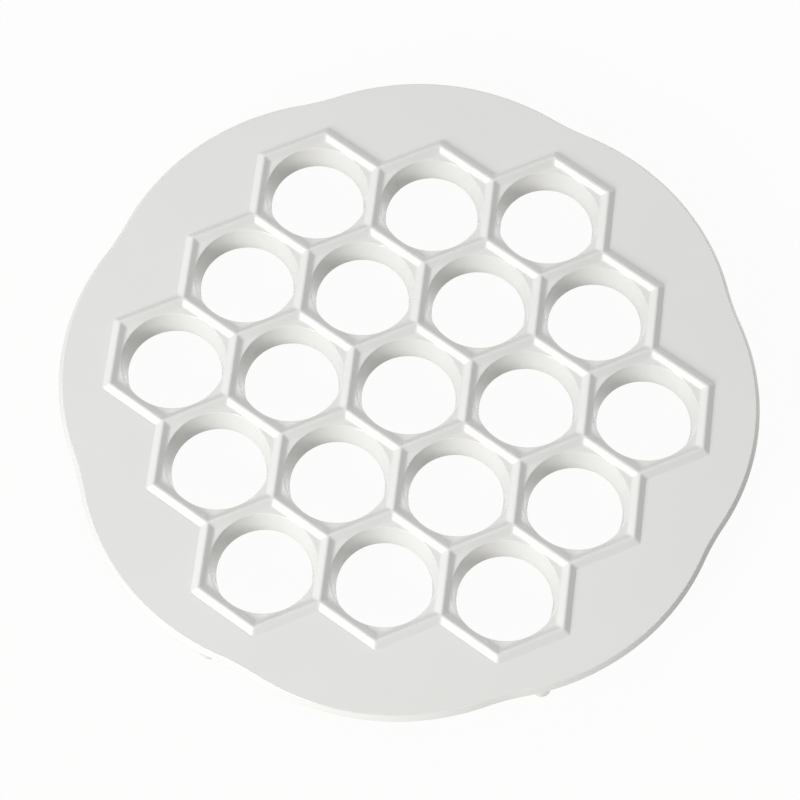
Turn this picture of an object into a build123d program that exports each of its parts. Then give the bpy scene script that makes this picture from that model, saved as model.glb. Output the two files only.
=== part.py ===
from build123d import *
from math import atan2, cos, degrees, hypot, pi, radians, sin, sqrt, tan
import os

os.makedirs("parts", exist_ok=True)

# Driving dimensions, in millimetres. The mould stands on its feet at Z = 0,
# with the middle of the centre cell over the origin and the cell rows along X.
overall_width = 240.0
cell_pitch = 40.55
middle_row_cells = 5
stand_height = 17.8

# Flange: eight shallow lobes joined by hollow waists, all tangent arcs
lobe_count = 8
lobe_radius = 84.6
waist_radius = 90.0
flange_thickness = 2.2
edge_setback = 1.3
top_edge_round = 0.5

# Honeycomb ribs that part the cells
rib_height = 1.6
rib_base_width = 4.7
rib_shoulder_height = 1.25
rib_shoulder_width = 2.0
rib_crest_width = 0.8

# Round holes, tapered, and the rings that carry their walls below the flange
hole_radius_at_floor = 17.88
hole_radius_at_foot = 16.1
hole_rim_round = 0.5
ring_depth = 10.45
ring_wall = 1.5
ring_edge_round = 0.3
web_thickness = 1.5
web_step = 2.2

# Feet: round pegs pressed into sockets beyond the six corner cells
foot_count = 6
foot_circle_radius = 111.7
foot_end_radius = 3.2
foot_top_radius = 3.5
foot_end_round = 0.7
socket_radius = 4.0
socket_depth = 3.0
socket_bore_radius = 2.0
stem_radius = 1.95
stem_reach = 4.0
stem_chamfer = 0.4
bore_spare = 0.3

# Heights and spacings that follow from them
floor_height = stand_height
flange_underside = floor_height - flange_thickness
crest_height = floor_height + rib_height
ring_foot_height = floor_height - ring_depth
row_pitch = cell_pitch * sqrt(3) / 2
wall_slope = (hole_radius_at_floor - hole_radius_at_foot) / ring_depth
wall_angle = atan2(hole_radius_at_floor - hole_radius_at_foot, ring_depth)
ring_root_radius = hole_radius_at_floor - wall_slope * flange_thickness + ring_wall
socket_face_height = flange_underside - socket_depth
edge_lean = degrees(atan2(edge_setback, flange_thickness))

foot_names = ["right", "rear_right", "rear_left", "left", "front_left", "front_right"]


def cell_centres():
    """Centres of the cells, row by row from the front."""
    half_rows = middle_row_cells // 2
    centres = []
    for row in range(-half_rows, half_rows + 1):
        cells_in_row = middle_row_cells - abs(row)
        for place in range(cells_in_row):
            centres.append(((place - (cells_in_row - 1) / 2) * cell_pitch, row * row_pitch))
    return centres


def web_places():
    """Midpoint and direction of each web between two neighbouring rings."""
    centres = cell_centres()
    places = []
    for index, (x, y) in enumerate(centres):
        for other_x, other_y in centres[index + 1:]:
            if hypot(other_x - x, other_y - y) < 1.1 * cell_pitch:
                angle = degrees(atan2(other_y - y, other_x - x))
                places.append(((x + other_x) / 2, (y + other_y) / 2, angle))
    return places


def polar(radius, angle):
    """Point at a radius and an angle in degrees."""
    return (radius * cos(radians(angle)), radius * sin(radians(angle)))


def rib_half_width(height):
    """Half the rib's thickness at a height above the floor."""
    if height <= rib_shoulder_height:
        share = height / rib_shoulder_height
        return (rib_base_width + share * (rib_shoulder_width - rib_base_width)) / 2
    share = (height - rib_shoulder_height) / (rib_height - rib_shoulder_height)
    return (rib_shoulder_width + share * (rib_crest_width - rib_shoulder_width)) / 2


def flank_taper(low, high):
    """Slope of the rib's flank between two heights, in degrees from upright."""
    return degrees(atan2(rib_half_width(low) - rib_half_width(high), high - low))


centres = cell_centres()
rib_steps = [(0.0, rib_shoulder_height), (rib_shoulder_height, rib_height)]

# Outline of the flange: where a lobe's arc meets the waist's arc
lobe_angle = 360 / lobe_count
lobe_centre = overall_width / 2 - lobe_radius
arc_reach = lobe_radius + waist_radius
half_lobe = radians(lobe_angle / 2)
waist_centre = lobe_centre * cos(half_lobe) + sqrt(arc_reach**2 - (lobe_centre * sin(half_lobe)) ** 2)
meet_x = lobe_centre + (waist_centre * cos(half_lobe) - lobe_centre) * lobe_radius / arc_reach
meet_y = waist_centre * sin(half_lobe) * lobe_radius / arc_reach
meet_radius = hypot(meet_x, meet_y)
meet_angle = degrees(atan2(meet_y, meet_x))

# Tool that bores one cell: the hole's tapered wall and its rounded rim
rim_centre = hole_radius_at_floor - hole_rim_round * wall_slope + hole_rim_round / cos(wall_angle)
rim_middle = (pi / 2 + pi - wall_angle) / 2
rim_height = floor_height - hole_rim_round
wall_top = (rim_centre - hole_rim_round * cos(wall_angle), rim_height + hole_rim_round * sin(wall_angle))
rim_mid = (rim_centre + hole_rim_round * cos(rim_middle), rim_height + hole_rim_round * sin(rim_middle))
rim_top = (rim_centre, floor_height)
overrun = 2.0
bore_low = ring_foot_height - overrun
bore_high = crest_height + overrun
low_radius = hole_radius_at_foot - overrun * wall_slope

with BuildPart() as hole_tool:
    with BuildSketch(Plane.XZ):
        with BuildLine():
            Polyline((0, bore_high), (0, bore_low), (low_radius, bore_low), wall_top)
            ThreePointArc(wall_top, rim_mid, rim_top)
            Polyline(rim_top, (rim_centre, bore_high), (0, bore_high))
        make_face()
    revolve(axis=Axis.Z)

with BuildPart() as mould_plate:
    # Flange, its edge leaning in as it rises
    with BuildSketch(Plane.XY.offset(flange_underside)):
        with BuildLine():
            for lobe in range(lobe_count):
                peak = lobe * lobe_angle
                waist = peak + lobe_angle / 2
                leave = polar(meet_radius, peak + meet_angle)
                ThreePointArc(
                    polar(meet_radius, peak - meet_angle), polar(overall_width / 2, peak), leave
                )
                ThreePointArc(
                    leave,
                    polar(waist_centre - waist_radius, waist),
                    polar(meet_radius, peak + lobe_angle - meet_angle),
                )
        make_face()
    extrude(amount=flange_thickness, taper=edge_lean)
    fillet(mould_plate.edges().group_by(Axis.Z)[-1], top_edge_round)

    # Rings below the flange, one round each hole, and the webs between them
    with Locations(*[(x, y, ring_foot_height) for x, y in centres]):
        Cone(
            hole_radius_at_foot + ring_wall,
            ring_root_radius,
            flange_underside - ring_foot_height,
            align=(Align.CENTER, Align.CENTER, Align.MIN),
        )
    web_length = cell_pitch - 2 * hole_radius_at_foot - ring_wall
    web_height = flange_underside - ring_foot_height - web_step
    with Locations(*[Location((x, y, flange_underside), (0, 0, angle)) for x, y, angle in web_places()]):
        Box(web_length, web_thickness, web_height, align=(Align.CENTER, Align.CENTER, Align.MAX))

    # Honeycomb: a raised mound in steps, with one hexagonal pocket for each cell
    for low, high in rib_steps:
        with BuildSketch(Plane.XY.offset(floor_height + low)):
            with Locations(*centres):
                RegularPolygon(cell_pitch / 2 + rib_half_width(low), 6, major_radius=False, rotation=30)
        extrude(amount=high - low, taper=flank_taper(low, high))
    for low, high in rib_steps:
        with BuildSketch(Plane.XY.offset(floor_height + low)):
            with Locations(*centres):
                RegularPolygon(cell_pitch / 2 - rib_half_width(low), 6, major_radius=False, rotation=30)
        extrude(amount=high - low, taper=-flank_taper(low, high), mode=Mode.SUBTRACT)

    # Holes through the cells
    with Locations(*[(x, y, 0) for x, y in centres]):
        add(hole_tool.part, mode=Mode.SUBTRACT)
    fillet(
        mould_plate.edges().filter_by(GeomType.CIRCLE).filter_by_position(
            Axis.Z, ring_foot_height - 0.01, ring_foot_height + 0.01
        ),
        ring_edge_round,
    )

    # Sockets for the feet, on the underside of the flange
    with BuildSketch(Plane.XY.offset(flange_underside)):
        with PolarLocations(foot_circle_radius, foot_count):
            Circle(socket_radius)
    extrude(amount=-socket_depth)
    with BuildSketch(Plane.XY.offset(socket_face_height)):
        with PolarLocations(foot_circle_radius, foot_count):
            Circle(socket_bore_radius)
    extrude(amount=stem_reach + bore_spare, mode=Mode.SUBTRACT)

mould_plate.part.label = "mould_plate"
export_step(mould_plate.part, "parts/mould_plate.step")

# Feet: a tapered peg with a rounded end, and a thinner stem that fills the socket
for index, place in enumerate(foot_names):
    foot_x, foot_y = polar(foot_circle_radius, index * 360 / foot_count)
    with BuildPart() as foot:
        with BuildSketch(Plane.XY.move(Location((foot_x, foot_y, 0)))):
            Circle(foot_end_radius)
        with BuildSketch(Plane.XY.move(Location((foot_x, foot_y, socket_face_height)))):
            Circle(foot_top_radius)
        loft()
        fillet(foot.edges().group_by(Axis.Z)[0], foot_end_round)
        with BuildSketch(Plane.XY.move(Location((foot_x, foot_y, socket_face_height)))):
            Circle(stem_radius)
        extrude(amount=stem_reach)
        chamfer(foot.edges().group_by(Axis.Z)[-1], stem_chamfer)
    foot.part.label = "foot_" + place
    export_step(foot.part, "parts/foot_" + place + ".step")
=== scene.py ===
import math

import bmesh
import bpy
from mathutils import Matrix, Vector
from mathutils.geometry import delaunay_2d_cdt


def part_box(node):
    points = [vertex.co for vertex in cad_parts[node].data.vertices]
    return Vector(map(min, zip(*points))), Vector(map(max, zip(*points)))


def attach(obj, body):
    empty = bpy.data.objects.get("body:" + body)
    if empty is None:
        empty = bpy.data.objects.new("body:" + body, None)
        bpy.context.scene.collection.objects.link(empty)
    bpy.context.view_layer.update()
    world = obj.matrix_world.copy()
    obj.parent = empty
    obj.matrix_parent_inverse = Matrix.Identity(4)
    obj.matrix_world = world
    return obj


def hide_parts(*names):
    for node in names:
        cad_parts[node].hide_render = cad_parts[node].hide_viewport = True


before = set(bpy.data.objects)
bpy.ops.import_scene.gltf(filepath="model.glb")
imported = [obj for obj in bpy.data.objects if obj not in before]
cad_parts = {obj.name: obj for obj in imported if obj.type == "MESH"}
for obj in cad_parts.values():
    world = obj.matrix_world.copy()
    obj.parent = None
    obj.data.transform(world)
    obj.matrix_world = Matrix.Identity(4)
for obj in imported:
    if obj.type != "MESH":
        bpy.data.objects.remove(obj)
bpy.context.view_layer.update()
print("frame loaded:", ", ".join(sorted(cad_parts)))

plateLow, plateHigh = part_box("mould_plate")

# the whole moulding follows from these, in metres
mould = {
    "pitch": 0.04055,  # between the middles of two neighbouring cells
    "middleRow": 5,  # cells in the longest row
    "floorHeight": 0.0178,  # cell floors and flange top, above the table
    "flangeThickness": 0.0022,
    "ribBase": 0.0047,
    "crestRound": 0.0010,
    "ribFootRound": 0.0006,
    "holeAtFloor": 0.01788,
    "holeAtFoot": 0.0161,
    "rimRound": 0.0004,
    "ringWall": 0.0015,
    "ringEdgeRound": 0.00035,
    "ringRootRound": 0.0008,
    "ringRootRun": 0.0012,  # flat kept round each ring's root
    "wallStart": 0.002,  # depth at which the hole's rim has become its straight wall
    "ribFootRun": 0.001,
    "crestSteps": 4,
    "cornerSteps": 4,
    "rimSteps": 5,
    "flankStations": 10,
    "approachPoints": 200,
    "weld": 0.00002,
    "tolerance": 1e-9,  # under which two points of a flat face are one
    "flatLimit": 0.99995,  # faces that lie flatter than this are shaded flat
}
underside = mould["floorHeight"] - mould["flangeThickness"]
crest = plateHigh.z
ringFoot = plateLow.z
halfPitch = mould["pitch"] / 2
ringDepth = mould["floorHeight"] - ringFoot
wallSlope = (mould["holeAtFloor"] - mould["holeAtFoot"]) / ringDepth
halfSector = [0, 5, 10, 15, 20, 25, 28.4]  # degrees from the middle of a cell's side
sectorAngles = [-30] + [-a for a in halfSector[:0:-1]] + halfSector


# Wire: one socket, with arithmetic that adds nodes
class Wire:
    def __init__(self, tree, socket=None):
        self.tree = tree
        self.socket = socket

    def node(self, kind, settings=None, inputs=None, output=0):
        made = self.tree.nodes.new(kind)
        for name, value in (settings or {}).items():
            setattr(made, name, value)
        for key, value in (inputs or {}).items():
            for one in value if isinstance(value, list) else [value]:  # a list is several links
                if isinstance(one, Wire):
                    self.tree.links.new(one.socket, made.inputs[key])
                else:
                    made.inputs[key].default_value = one
        return Wire(self.tree, made.outputs[output] if len(made.outputs) else None)

    def math(self, operation, first, second=0.0):
        return self.node("ShaderNodeMath", {"operation": operation}, {0: first, 1: second})

    def __add__(self, other):
        return self.math("ADD", self, other)

    def __sub__(self, other):
        return self.math("SUBTRACT", self, other)

    def __rsub__(self, other):
        return self.math("SUBTRACT", other, self)

    def __mul__(self, other):
        return self.math("MULTIPLY", self, other)

    def __truediv__(self, other):
        return self.math("DIVIDE", self, other)

    def __rtruediv__(self, other):
        return self.math("DIVIDE", other, self)

    def __gt__(self, other):
        return self.math("GREATER_THAN", self, other)

    def __lt__(self, other):
        return self.math("LESS_THAN", self, other)

    __radd__ = __add__
    __rmul__ = __mul__


def emptyTree(owner):  # a material or a world, with its default nodes taken out
    owner.use_nodes = True
    owner.node_tree.nodes.clear()
    return Wire(owner.node_tree)


# Paths and loops that the moulding is drawn with
def roundCorners(points, radii, steps):
    points = [Vector(p) for p in points]
    path = [points[0]]
    for before, corner, after, radius in zip(points, points[1:], points[2:], radii):
        back = (before - corner).normalized()
        ahead = (after - corner).normalized()
        half = (math.pi - back.angle(ahead)) / 2
        centre = corner + (back + ahead).normalized() * radius / math.cos(half)
        first = corner + back * radius * math.tan(half) - centre
        last = corner + ahead * radius * math.tan(half) - centre
        for step in range(steps + 1):
            share = step / steps
            spoke = first * math.sin((1 - share) * 2 * half) + last * math.sin(share * 2 * half)
            path.append(centre + spoke / math.sin(2 * half))
    path.append(points[-1])
    return path


def resample(path, count):  # points evenly spaced along a path, both ends kept
    lengths = [0.0]
    for first, second in zip(path, path[1:]):
        lengths.append(lengths[-1] + (second - first).length)
    result = []
    piece = 0
    for step in range(count):
        wanted = lengths[-1] * step / (count - 1)
        while piece < len(path) - 2 and lengths[piece + 1] < wanted:
            piece += 1
        span = lengths[piece + 1] - lengths[piece]
        share = (wanted - lengths[piece]) / span if span > 0 else 0
        result.append(path[piece].lerp(path[piece + 1], share))
    return result


class Shell:  # points and faces of one mesh as they are made
    def __init__(self):
        self.points = []
        self.faces = []

    def loop(self, points):
        first = len(self.points)
        self.points.extend(tuple(p) for p in points)
        return list(range(first, len(self.points)))

    def strip(self, first, second):  # quads between two closed loops
        for k in range(len(first)):
            after = (k + 1) % len(first)
            self.faces.append((first[k], first[after], second[after], second[k]))

    def fill(self, outer, holes, height):  # flat face between loops that are already made
        loops = [outer] + holes
        flat = [Vector(self.points[i][:2]) for ring in loops for i in ring]
        index = [i for ring in loops for i in ring]
        rings = []
        first = 0
        for ring in loops:
            rings.append(list(range(first, first + len(ring))))
            first += len(ring)
        spots, edges, triangles, spotSource, edgeSource, inside = delaunay_2d_cdt(
            flat, [], rings, 0, mould["tolerance"]
        )
        for triangle, owners in zip(triangles, inside):
            if owners == [0]:
                self.faces.append(tuple(index[spotSource[spot][0]] for spot in triangle))

    def lathe(self, section, centre, steps):  # rings of a turned shape, from (radius, height)
        rings = []
        turns = [2 * math.pi * k / steps for k in range(steps)]
        for radius, height in section:
            rings.append(self.loop(
                (centre[0] + radius * math.cos(a), centre[1] + radius * math.sin(a), height)
                for a in turns
            ))
        for first, second in zip(rings, rings[1:]):
            self.strip(first, second)
        return rings

    def mesh(self, name):
        made = bpy.data.meshes.new(name)
        made.from_pydata(self.points, [], self.faces)
        work = bmesh.new()
        work.from_mesh(made)
        bmesh.ops.recalc_face_normals(work, faces=work.faces)
        for face in work.faces:
            face.smooth = True
        work.to_mesh(made)
        work.free()
        return made


def place(name, mesh):
    piece = bpy.data.objects.new(name, mesh)
    bpy.context.scene.collection.objects.link(piece)
    return piece


# Rib section: distance from the crest line, and height
def ribSection():
    half = mould["ribBase"] / 2
    turn = mould["crestRound"]
    rise = crest - mould["floorHeight"]
    angle = math.atan2(rise - turn, half) + math.asin(turn / math.hypot(half, rise - turn))
    section = []
    steps = mould["crestSteps"]
    for step in range(steps + 1):
        lean = angle * step / steps
        section.append(Vector((turn * math.sin(lean), crest - turn * (1 - math.cos(lean)))))
    foot = roundCorners(
        [
            section[-1],
            (half, mould["floorHeight"]),
            (half + mould["ribFootRun"], mould["floorHeight"]),
        ],
        [mould["ribFootRound"]], mould["cornerSteps"],
    )
    return section, foot[1:]


ribCrest, ribFoot = ribSection()


def cellSection(angle):  # from the crest line in to the hole and over its rim
    lean = math.cos(math.radians(angle))
    path = [Vector(((halfPitch - d) / lean, z)) for d, z in [ribCrest[-1], *ribFoot]]
    path.append(Vector((mould["holeAtFoot"], mould["floorHeight"])))
    kept = [path[0]]
    for first, second in zip(path, path[1:]):
        gaps = [p.x - mould["holeAtFoot"] - (p.y - ringFoot) * wallSlope for p in (first, second)]
        if gaps[1] <= 0:
            corner = first.lerp(second, gaps[0] / (gaps[0] - gaps[1]))
            break
        kept.append(second)
    wall = Vector((-wallSlope, -1)).normalized()
    arrive = (corner - kept[-1]).normalized()
    reach = mould["rimRound"] * math.tan(arrive.angle(wall) / 2)
    approach = resample(kept + [corner], mould["approachPoints"])
    flank = [p for p in approach if (p - corner).length > reach]
    top = [Vector(((halfPitch - d) / lean, z)) for d, z in ribCrest[:-1]]
    top += resample(flank, mould["flankStations"])
    start, end = flank[-1], corner + wall * reach
    for step in range(1, mould["rimSteps"] + 1):
        share = step / mould["rimSteps"]
        top.append(start.lerp(corner, share).lerp(corner.lerp(end, share), share))
    return top


def ringSection():  # down the hole's wall, round the ring's foot, and up its outside
    def wallAt(height):
        return mould["holeAtFoot"] + (height - ringFoot) * wallSlope

    start = mould["floorHeight"] - mould["wallStart"]
    outer = mould["ringWall"]
    points = [
        (wallAt(start), start),
        (wallAt(ringFoot), ringFoot),
        (wallAt(ringFoot) + outer, ringFoot),
        (wallAt(underside) + outer, underside),
        (wallAt(underside) + outer + mould["ringRootRun"], underside),
    ]
    radii = [mould["ringEdgeRound"]] * 2 + [mould["ringRootRound"]]
    return roundCorners(points, radii, mould["cornerSteps"])


def makeCell():
    shell = Shell()
    below = ringSection()
    columns = []
    directions = []
    for side in range(6):
        for angle in sectorAngles:
            directions.append(math.radians(side * 60 + angle))
            rim = Vector((halfPitch / math.cos(math.radians(angle)), underside))
            columns.append(cellSection(angle) + below + [rim])
    last = None
    for station in zip(*columns):
        loop = shell.loop(
            (p.x * math.cos(a), p.x * math.sin(a), p.y) for p, a in zip(station, directions)
        )
        if last:
            shell.strip(last, loop)
        last = loop
    return place("cellPattern", shell.mesh("cellPattern"))


# Outline of the flange: lobes and waists as tangent arcs
outline = {
    "lobes": 8,
    "lobeRadius": 0.0846,
    "waistRadius": 0.090,
    "reach": plateHigh.x,
    "setback": 0.0013,  # the edge leans in by this much over its drop
    "drop": 0.00205,
    "topRound": 0.0005,
    "lipRound": 0.0001,
    "inset": 0.0011,  # flat kept beside the edge, above and below
    "edgeSteps": 6,
    "lobeSteps": 40,
    "waistSteps": 20,
}


def outlinePoints():  # points round the flange with their outward directions
    turn = math.pi / outline["lobes"]
    lobeCentre = outline["reach"] - outline["lobeRadius"]
    span = outline["lobeRadius"] + outline["waistRadius"]
    offset = lobeCentre * math.sin(turn)
    waistCentre = lobeCentre * math.cos(turn) + math.sqrt(span**2 - offset**2)
    between = Vector((waistCentre * math.cos(turn) - lobeCentre, waistCentre * math.sin(turn)))
    lobeHalf = math.atan2(between.y, between.x)
    waistHalf = lobeHalf - turn
    lobeMiddle = Vector((lobeCentre, 0))
    waistMiddle = Vector((waistCentre * math.cos(turn), waistCentre * math.sin(turn)))
    result = []
    for lobe in range(outline["lobes"]):
        spin = Matrix.Rotation(2 * turn * lobe, 2)
        for step in range(outline["lobeSteps"]):
            lean = lobeHalf * (2 * step / outline["lobeSteps"] - 1)
            outward = Vector((math.cos(lean), math.sin(lean)))
            result.append((spin @ (lobeMiddle + outward * outline["lobeRadius"]), spin @ outward))
        for step in range(outline["waistSteps"]):
            lean = turn + waistHalf * (1 - 2 * step / outline["waistSteps"])
            outward = Vector((math.cos(lean), math.sin(lean)))
            result.append((spin @ (waistMiddle - outward * outline["waistRadius"]), spin @ outward))
    return result


# Honeycomb's outer border, as a chain of cell sides
def latticeCells():
    reach = mould["middleRow"] // 2
    steps = range(-reach, reach + 1)
    return [(q, r) for r in steps for q in steps if abs(q + r) <= reach]


def borderCorners():  # corners of the border in order, each with its mitre direction
    cells = set(latticeCells())
    neighbours = [(1, 0), (0, 1), (-1, 1), (-1, 0), (0, -1), (1, -1)]
    sides = {}
    for q, r in cells:
        middle = Vector(((q + r / 2) * mould["pitch"], r * mould["pitch"] * math.sqrt(3) / 2))
        for side, (dq, dr) in enumerate(neighbours):
            if (q + dq, r + dr) in cells:
                continue
            ends = []
            for angle in (side * 60 - 30, side * 60 + 30):
                spoke = Vector((math.cos(math.radians(angle)), math.sin(math.radians(angle))))
                ends.append(middle + spoke * halfPitch / math.cos(math.pi / 6))
            key = (round(ends[0].x, 6) + 0.0, round(ends[0].y, 6) + 0.0)
            sides[key] = (ends[0], ends[1], math.radians(side * 60))
    chain = []
    key = min(sides)
    while len(chain) < len(sides):
        start, end, facing = sides[key]
        chain.append((start, Vector((math.cos(facing), math.sin(facing)))))
        key = min(sides, key=lambda k: (Vector(k) - end).length)
    corners = []
    for k, (start, outward) in enumerate(chain):
        before = chain[k - 1][1]
        corners.append((start, (before + outward) / (1 + before.dot(outward))))
    return corners


border = borderCorners()


def borderLoop(distance, height):  # points along the border, moved out by a distance
    edge = [(math.tan(math.radians(a)) / math.tan(math.pi / 6) + 1) / 2 for a in sectorAngles]
    result = []
    for k, (corner, mitre) in enumerate(border):
        nextCorner, nextMitre = border[(k + 1) % len(border)]
        start, end = corner + mitre * distance, nextCorner + nextMitre * distance
        result.extend((*start.lerp(end, share), height) for share in edge)
    return result


# Sockets for the feet and ejector marks, under the flange
socket = {
    "count": 6,
    "circle": 0.1117,
    "offset": 0.0,  # of the first one from +X, as a share of the step between two
    "radius": 0.0040,
    "depth": 0.0030,
    "bore": 0.0020,
    "boreDepth": 0.0043,
    "rootRound": 0.0006,
    "edgeRound": 0.0003,
    "rootRun": 0.0002,
    "boreEnd": 0.0004,
    "cornerSteps": 4,
    "steps": 48,
}
ejector = {
    "count": 12,
    "circle": 0.1075,
    "offset": 0.5,
    "radius": 0.0030,
    "depth": 0.00015,
    "slope": 0.0001,
    "steps": 32,
}


def around(facts):  # middles of the sockets or marks on their circle
    turns = [2 * math.pi * (k + facts["offset"]) / facts["count"] for k in range(facts["count"])]
    return [(facts["circle"] * math.cos(a), facts["circle"] * math.sin(a)) for a in turns]


def makeFlange():
    shell = Shell()
    floor = mould["floorHeight"]
    loops = [shell.loop(borderLoop(d, z)) for d, z in ribCrest + ribFoot]
    for first, second in zip(loops, loops[1:]):
        shell.strip(first, second)
    setback, inset = outline["setback"], outline["inset"]
    edge = roundCorners(
        [
            (-setback - inset, floor),
            (-setback, floor),
            (0, floor - outline["drop"]),
            (0, underside),
            (-inset, underside),
        ],
        [outline["topRound"], outline["lipRound"] / 2, outline["lipRound"] / 2],
        outline["edgeSteps"],
    )
    rim = outlinePoints()
    rims = [shell.loop((*(p + n * shift), z) for p, n in rim) for shift, z in edge]
    for first, second in zip(rims, rims[1:]):
        shell.strip(first, second)
    shell.fill(rims[0], [loops[-1]], floor)

    holes = [shell.loop(borderLoop(0, underside))]
    face = underside - socket["depth"]
    boreTop = face + socket["boreDepth"]
    edgeRound = socket["edgeRound"]
    section = roundCorners(
        [
            (socket["radius"] + socket["rootRound"] + socket["rootRun"], underside),
            (socket["radius"], underside),
            (socket["radius"], face),
            (socket["bore"], face),
            (socket["bore"], boreTop),
            (socket["boreEnd"], boreTop),
        ],
        [socket["rootRound"], edgeRound, edgeRound / 2, edgeRound],
        socket["cornerSteps"],
    )
    dent = [
        (ejector["radius"], underside),
        (ejector["radius"] - ejector["slope"], underside + ejector["depth"]),
    ]
    turned = [(section, centre, socket["steps"]) for centre in around(socket)]
    turned += [(dent, centre, ejector["steps"]) for centre in around(ejector)]
    for profile, centre, steps in turned:
        rings = shell.lathe(profile, centre, steps)
        holes.append(rings[0])
        shell.faces.append(tuple(rings[-1]))
    shell.fill(rims[-1], holes, underside)
    return place("mouldPlate", shell.mesh("mouldPlate"))


# Webs that tie each ring to its neighbours
web = {
    "thickness": 0.0015,
    "flare": 0.0007,  # added to each side where a web meets its ring
    "flarePower": 3,  # how late the flare begins
    "halfLength": 0.0026,
    "step": 0.0022,  # from a ring's foot up to the web
    "bevel": 0.0003,
    "bury": 0.0004,
    "halfSteps": 6,
}


def makeWeb():
    shell = Shell()
    low, high = ringFoot + web["step"], underside + web["bury"]
    last = None
    for step in range(-web["halfSteps"], web["halfSteps"] + 1):
        share = step / web["halfSteps"]
        half = web["thickness"] / 2 + web["flare"] * abs(share) ** web["flarePower"]
        x = halfPitch + share * web["halfLength"]
        inner = half - web["bevel"]
        points = [(x, -half, high), (x, -half, low + web["bevel"]), (x, -inner, low)]
        points += [(x, inner, low), (x, half, low + web["bevel"]), (x, half, high)]
        loop = shell.loop(points)
        if last:
            shell.strip(last, loop)
        else:
            shell.faces.append(tuple(loop))
        last = loop
    shell.faces.append(tuple(last))
    return place("webPattern", shell.mesh("webPattern"))


# Node tree that sets the cells and webs out on the lattice and welds them to the flange
def honeycombTree():
    tree = bpy.data.node_groups.new("honeycomb", "GeometryNodeTree")
    sockets = {}
    for name, kind in (
        ("Flange", "NodeSocketGeometry"),
        ("Cell", "NodeSocketObject"),
        ("Web", "NodeSocketObject"),
        ("Pitch", "NodeSocketFloat"),
        ("Cells Across", "NodeSocketInt"),
        ("Weld Distance", "NodeSocketFloat"),
        ("Plastic", "NodeSocketMaterial"),
    ):
        sockets[name] = tree.interface.new_socket(name=name, in_out="INPUT", socket_type=kind)
    tree.interface.new_socket(name="Geometry", in_out="OUTPUT", socket_type="NodeSocketGeometry")
    make = Wire(tree)
    wires = {name: make.node("NodeGroupInput", {}, {}, name) for name in sockets}
    across = wires["Cells Across"]
    reach = (across - 1) / 2
    grid = make.node(
        "GeometryNodeMeshGrid", {},
        {"Size X": across - 1, "Size Y": across - 1, "Vertices X": across, "Vertices Y": across},
    )
    column, row = (
        make.node("ShaderNodeSeparateXYZ", {}, {0: make.node("GeometryNodeInputPosition")}, side)
        for side in (0, 1)
    )
    outside = make.math("ABSOLUTE", column + row) > reach + 0.5
    lattice = make.node("GeometryNodeDeleteGeometry", {}, {"Geometry": grid, "Selection": outside})
    shown = make.node(
        "ShaderNodeCombineXYZ", {},
        {"X": (column + row * 0.5) * wires["Pitch"], "Y": row * wires["Pitch"] * (math.sqrt(3) / 2)},
    )
    parts = [wires["Flange"]]

    def setOut(points, pattern, turn):
        moved = make.node("GeometryNodeSetPosition", {}, {"Geometry": points, "Position": shown})
        shape = make.node("GeometryNodeObjectInfo", {}, {"Object": wires[pattern]}, "Geometry")
        parts.append(make.node(
            "GeometryNodeInstanceOnPoints", {},
            {"Points": moved, "Instance": shape, "Rotation": (0, 0, math.radians(turn))},
        ))

    setOut(lattice, "Cell", 0)
    for turn, (columnStep, rowStep) in ((0, (1, 0)), (60, (0, 1)), (120, (-1, 1))):
        alone = make.math("ABSOLUTE", column + columnStep) > reach + 0.5
        alone = alone + (make.math("ABSOLUTE", row + rowStep) > reach + 0.5)
        alone = alone + (make.math("ABSOLUTE", column + row + (columnStep + rowStep)) > reach + 0.5)
        paired = make.node(
            "GeometryNodeDeleteGeometry", {}, {"Geometry": lattice, "Selection": alone > 0.5}
        )
        setOut(paired, "Web", turn)
    joined = make.node("GeometryNodeJoinGeometry", {}, {0: parts})
    real = make.node("GeometryNodeRealizeInstances", {}, {0: joined})
    welded = make.node(
        "GeometryNodeMergeByDistance", {}, {"Geometry": real, "Distance": wires["Weld Distance"]}
    )
    finished = make.node(
        "GeometryNodeSetMaterial", {}, {"Geometry": welded, "Material": wires["Plastic"]}
    )
    make.node("NodeGroupOutput", {}, {0: finished})
    return tree, sockets


# White plastic: faint mottling, fine orange-peel and a few specks
plastic = {
    "colour": (0.705, 0.703, 0.687, 1),
    "shade": 0.03,
    "roughness": 0.07,
    "roughnessSpread": 0.05,
    "refraction": 1.55,
    "footRoughness": 0.13,  # the feet are a little duller
    "mottle": {"Scale": 38.0, "Detail": 4.0},
    "cloud": {"Scale": 9.0, "Detail": 2.0},
    "peel": {"Scale": 900.0, "Detail": 3.0},
    "peelStrength": 0.015,
    "reliefDepth": 0.0002,
    "reliefShare": 2,  # of the specks and the mottling, beside the orange-peel
    "speckScale": 55.0,
    "speckSize": 0.006,
    "speckSpread": 0.008,
    "speckRarity": 0.93,
    "speckShade": 0.12,
}


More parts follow.
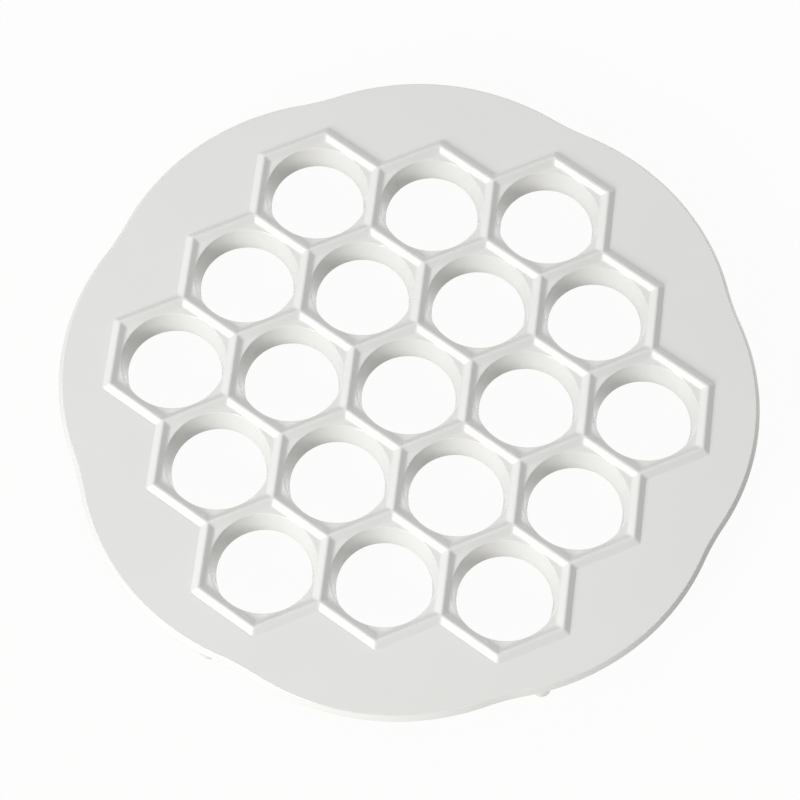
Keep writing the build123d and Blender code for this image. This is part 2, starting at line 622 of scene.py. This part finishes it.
def makePlastic(name, roughness):
    material = bpy.data.materials.new(name)
    make = emptyTree(material)
    spot = make.node("ShaderNodeTexCoord", {}, {}, "Object")
    mottle, cloud, peel = (
        make.node("ShaderNodeTexNoise", {}, {"Vector": spot, **plastic[pattern]})
        for pattern in ("mottle", "cloud", "peel")
    )
    cells = {"Vector": spot, "Scale": plastic["speckScale"]}
    nearness = make.node("ShaderNodeTexVoronoi", {}, cells, "Distance")
    chance = make.node(
        "ShaderNodeSeparateColor", {}, {0: make.node("ShaderNodeTexVoronoi", {}, cells, "Color")}, 0
    )
    speckEdge = plastic["speckSize"] + chance * plastic["speckSpread"]
    speck = (nearness < speckEdge) * (chance > plastic["speckRarity"])
    blotch = (mottle - 0.5) + (cloud - 0.5)
    tone = 1 + blotch * plastic["shade"] - speck * plastic["speckShade"]
    grey = make.node("ShaderNodeCombineColor", {}, {0: tone, 1: tone, 2: tone})
    tint = make.node(
        "ShaderNodeMix", {"data_type": "RGBA", "blend_type": "MULTIPLY"},
        {"Factor": 1.0, 6: plastic["colour"], 7: grey}, 2,
    )
    relief = make.node(
        "ShaderNodeBump", {},
        {
            "Strength": plastic["peelStrength"],
            "Distance": plastic["reliefDepth"],
            "Height": peel + speck * plastic["reliefShare"] + mottle * plastic["reliefShare"],
        },
    )
    shader = make.node(
        "ShaderNodeBsdfPrincipled", {},
        {
            "Base Color": tint,
            "Roughness": roughness + blotch * plastic["roughnessSpread"],
            "IOR": plastic["refraction"],
            "Normal": relief,
        },
    )
    make.node("ShaderNodeOutputMaterial", {}, {"Surface": shader})
    return material


platePlastic = makePlastic("whitePlastic", plastic["roughness"])
footPlastic = makePlastic("footPlastic", plastic["footRoughness"])
print("materials made")


def makePlate():
    cellPattern, webPattern, mouldPlate = makeCell(), makeWeb(), makeFlange()
    tree, sockets = honeycombTree()
    layout = mouldPlate.modifiers.new("honeycomb", "NODES")
    layout.node_group = tree
    for name, value in (
        ("Cell", cellPattern),
        ("Web", webPattern),
        ("Pitch", mould["pitch"]),
        ("Cells Across", mould["middleRow"]),
        ("Weld Distance", mould["weld"]),
        ("Plastic", platePlastic),
    ):
        layout[sockets[name].identifier] = value
    bpy.context.view_layer.update()
    evaluated = mouldPlate.evaluated_get(bpy.context.evaluated_depsgraph_get())
    whole = bpy.data.meshes.new_from_object(evaluated)
    mouldPlate.modifiers.remove(layout)
    mouldPlate.data = whole
    for pattern in (cellPattern, webPattern):
        bpy.data.objects.remove(pattern)
    work = bmesh.new()
    work.from_mesh(whole)
    bmesh.ops.recalc_face_normals(work, faces=work.faces)
    for face in work.faces:
        face.smooth = abs(face.normal.z) < mould["flatLimit"]
    openEdges = sum(1 for edge in work.edges if not edge.is_manifold)
    work.to_mesh(whole)
    work.free()
    print("plate made:", len(whole.polygons), "faces,", openEdges, "open edges")
    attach(mouldPlate, "root")
    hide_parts("mould_plate")


makePlate()

# Feet: turned pegs with a rounded end, a faint neck where they seat, and a stem in the socket
foot = {
    "endRadius": 0.0032,
    "topRadius": 0.0035,
    "endRound": 0.0009,
    "neck": 0.00015,
    "neckRound": 0.0001,
    "seatRound": 0.00005,
    "stem": 0.00193,
    "stemRootRound": 0.0001,
    "stemEndRound": 0.0004,
    "pole": 0.0005,  # radius of the flat at the middle of each end
    "cornerSteps": 6,
    "steps": 64,
}


def makeFoot(node):
    low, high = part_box(node)
    centre = ((low.x + high.x) / 2, (low.y + high.y) / 2)
    seat = underside - socket["depth"]
    section = roundCorners(
        [
            (foot["pole"], low.z),
            (foot["endRadius"], low.z),
            (foot["topRadius"], seat - foot["neck"]),
            (foot["topRadius"] - foot["neck"], seat),
            (foot["stem"], seat),
            (foot["stem"], high.z),
            (foot["pole"], high.z),
        ],
        [
            foot["endRound"], foot["neckRound"], foot["seatRound"],
            foot["stemRootRound"], foot["stemEndRound"],
        ],
        foot["cornerSteps"],
    )
    shell = Shell()
    rings = shell.lathe(section, centre, foot["steps"])
    shell.faces += [tuple(rings[0]), tuple(rings[-1])]
    name = "foot" + "".join(word.capitalize() for word in node.split("_")[1:])
    piece = place(name, shell.mesh(name))
    piece.data.materials.append(footPlastic)
    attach(piece, "root")
    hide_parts(node)
    return piece


feet = [makeFoot(node) for node in sorted(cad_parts) if node.startswith("foot_")]
print("feet made:", len(feet))

# Table and surroundings: white to the camera and in reflections, with a faint shadow kept
studio = {
    "floorHalf": 3.0,
    "floorShade": (0.65, 0.635, 0.58, 1),  # pale and a little warm, the same all over
    "floorRoughness": 0.9,
    "grainScale": 60.0,
    "grainSpread": 0.05,
    "shadowShare": 0.04,
    "skyStrength": 0.38,
}


def seenPlain(make):  # 1 for the rays that show the background itself, straight or mirrored
    seen = make.node("ShaderNodeLightPath", {}, {}, "Is Camera Ray")
    for ray in ("Is Glossy Ray", "Is Transmission Ray"):
        seen = seen + make.node("ShaderNodeLightPath", {}, {}, ray)
    return seen


def makeSurroundings():
    half = studio["floorHalf"]
    shell = Shell()
    corners = [(-half, -half, 0), (half, -half, 0), (half, half, 0), (-half, half, 0)]
    shell.faces.append(tuple(shell.loop(corners)))
    floor = place("table", shell.mesh("table"))
    material = bpy.data.materials.new("tableWhite")
    make = emptyTree(material)
    spot = make.node("ShaderNodeTexCoord", {}, {}, "Object")
    grain = make.node("ShaderNodeTexNoise", {}, {"Vector": spot, "Scale": studio["grainScale"]})
    rough = studio["floorRoughness"] + (grain - 0.5) * studio["grainSpread"]
    matt = make.node("ShaderNodeBsdfDiffuse", {}, {"Color": studio["floorShade"], "Roughness": rough})
    glow = make.node("ShaderNodeEmission", {}, {"Color": (1, 1, 1, 1), "Strength": 1.0})
    share = seenPlain(make) * (1 - studio["shadowShare"])
    both = make.node("ShaderNodeMixShader", {}, {0: share, 1: matt, 2: glow})
    make.node("ShaderNodeOutputMaterial", {}, {"Surface": both})
    floor.data.materials.append(material)

    world = bpy.data.worlds.new("surroundings")
    bpy.context.scene.world = world
    make = emptyTree(world)
    strength = studio["skyStrength"] + seenPlain(make) * (1 - studio["skyStrength"])
    sky = make.node("ShaderNodeBackground", {}, {"Color": (1, 1, 1, 1), "Strength": strength})
    make.node("ShaderNodeOutputWorld", {}, {"Surface": sky})


# Lamps: where the light comes from, as degrees from +X and degrees above the table
lamps = {
    "keySoftbox": {"bearing": 238, "rise": 24, "away": 2.0, "size": 0.75, "power": 27.3},
    "sideSoftbox": {"bearing": 220, "rise": 33, "away": 2.0, "size": 0.75, "power": 10.9},
    "backSoftbox": {
        "bearing": 90, "rise": 38, "away": 3.0, "size": 1.4, "power": 34.0,
        "mirrored": False,  # kept out of the plastic's reflections
    },
}


def towards(bearing, rise):  # direction at a bearing from +X and a height, both in degrees
    bearing, rise = math.radians(bearing), math.radians(rise)
    return Vector((
        math.cos(bearing) * math.cos(rise),
        math.sin(bearing) * math.cos(rise),
        math.sin(rise),
    ))


def makeLamps():
    middle = Vector((0, 0, mould["floorHeight"]))
    for name, facts in lamps.items():
        data = bpy.data.lights.new(name, "AREA")
        data.shape = "DISK"
        data.size = facts["size"]
        data.energy = facts["power"]
        lamp = bpy.data.objects.new(name, data)
        lamp.visible_glossy = facts.get("mirrored", True)
        away = towards(facts["bearing"], facts["rise"])
        lamp.location = middle + away * facts["away"]
        lamp.rotation_euler = (-away).to_track_quat("-Z", "Y").to_euler()
        bpy.context.scene.collection.objects.link(lamp)


# Camera: aimed at a point of the plate, worked out from where the holes stand in the picture
view = {
    "aim": (-0.00246, -0.00492, 0.0166),
    "distance": 1.1289,
    "azimuth": 6.06,
    "elevation": 65.53,
    "roll": 0.741,
    "lens": 149.0,
    "sensor": 36.0,
    "clip": (0.05, 20),
}


def makeCamera():
    data = bpy.data.cameras.new("camera")
    data.lens = view["lens"]
    data.sensor_width = view["sensor"]
    data.clip_start, data.clip_end = view["clip"]
    camera = bpy.data.objects.new("camera", data)
    back = towards(view["azimuth"] - 90, view["elevation"])
    camera.location = Vector(view["aim"]) + back * view["distance"]
    roll = Matrix.Rotation(math.radians(view["roll"]), 3, "Z")
    camera.rotation_euler = ((-back).to_track_quat("-Z", "Y").to_matrix() @ roll).to_euler()
    bpy.context.scene.collection.objects.link(camera)
    bpy.context.scene.camera = camera


makeSurroundings()
makeLamps()
makeCamera()
bpy.context.scene.view_settings.view_transform = "Standard"
print("table, lamps and camera placed")
